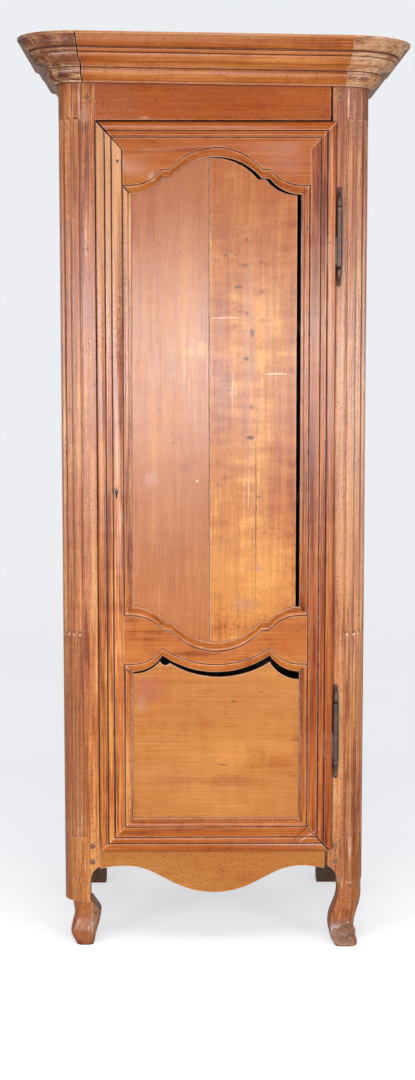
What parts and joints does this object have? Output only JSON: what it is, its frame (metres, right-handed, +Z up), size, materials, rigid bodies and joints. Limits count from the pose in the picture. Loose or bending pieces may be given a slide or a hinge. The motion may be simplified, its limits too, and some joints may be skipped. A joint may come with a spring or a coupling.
{
  "type": "bonnetiere cabinet",
  "caption": "Tall narrow linen cupboard with one framed and panelled door, fluted round-cornered posts, shaped apron, carved front feet and a deep moulded cornice.",
  "frame": {"origin": "on the floor, under the middle of the bounding box", "axes": "+X to the right as seen from the front, front towards -Y, +Z up"},
  "size_m": [0.876, 0.626, 2.0658],
  "materials": {
    "wood_frame": "waxed cherry, worn satin, dark in the quirks",
    "wood_panel": "waxed cherry, figured, worn satin",
    "wood_cornice": "waxed cherry, worn, patches of grey",
    "wood_inside": "bare planed oak, darkened and dusty",
    "iron": "dark forged iron, slightly rusted"
  },
  "bodies": {
    "carcase": {"back_boards": "wood_inside", "carcase_pegs": "wood_frame", "cornice_corner_left": "wood_cornice", "cornice_corner_right": "wood_cornice", "cornice_front": "wood_cornice", "cornice_nails": "iron", "cornice_packing": "wood_inside", "cornice_rail_back": "wood_inside", "cornice_side_left": "wood_cornice", "cornice_side_right": "wood_cornice", "floor_bearers": "wood_inside", "floor_boards": "wood_inside", "foot_front_left": "wood_frame", "hinge_lower_finial": "iron", "hinge_lower_leaf_post": "iron", "hinge_lower_pin": "iron", "hinge_upper_finial": "iron", "hinge_upper_leaf_post": "iron", "hinge_upper_pin": "iron", "panel_side_lower_left": "wood_panel", "panel_side_lower_right": "wood_panel", "panel_side_upper_left": "wood_panel", "panel_side_upper_right": "wood_panel", "post_back_left": "wood_frame", "post_back_right": "wood_frame", "post_front_left": "wood_frame", "post_front_right": "wood_frame", "rail_back_bottom": "wood_inside", "rail_back_middle": "wood_inside", "rail_back_top": "wood_inside", "rail_front_bottom": "wood_frame", "rail_front_top": "wood_frame", "rail_side_bottom_left": "wood_frame", "rail_side_bottom_right": "wood_frame", "rail_side_middle_left": "wood_frame", "rail_side_middle_right": "wood_frame", "rail_side_top_left": "wood_frame", "rail_side_top_right": "wood_frame", "roof_boards": "wood_inside", "shelf_cleats": "wood_inside", "shelf_lower": "wood_inside", "shelf_middle": "wood_inside", "shelf_upper": "wood_inside", "strike_plate": "iron"},
    "door": {"door_panel_lower": "wood_panel", "door_panel_upper_left": "wood_panel", "door_panel_upper_right": "wood_panel", "door_pegs": "wood_frame", "door_rail_bottom": "wood_frame", "door_rail_middle": "wood_frame", "door_rail_top": "wood_frame", "door_stile_hinge": "wood_frame", "door_stile_lock": "wood_frame", "hinge_lower_leaf_door": "iron", "hinge_nails": "iron", "hinge_upper_leaf_door": "iron", "lock_case": "iron", "lock_key_pin": "iron", "lock_spring": "iron"},
    "lock_bolt": {"lock_bolt": "iron"}
  },
  "joints": [
    {"name": "door_swing", "type": "hinge", "parent": "carcase", "child": "door", "pos_m": [0.27892, -0.2285, 1.0675], "axis": [0, 0, 1], "range_deg": [0, 170]},
    {"name": "bolt_slide", "type": "slide", "parent": "door", "child": "lock_bolt", "axis": [-1, 0, 0], "range_m": [0, 0.012]}
  ]
}
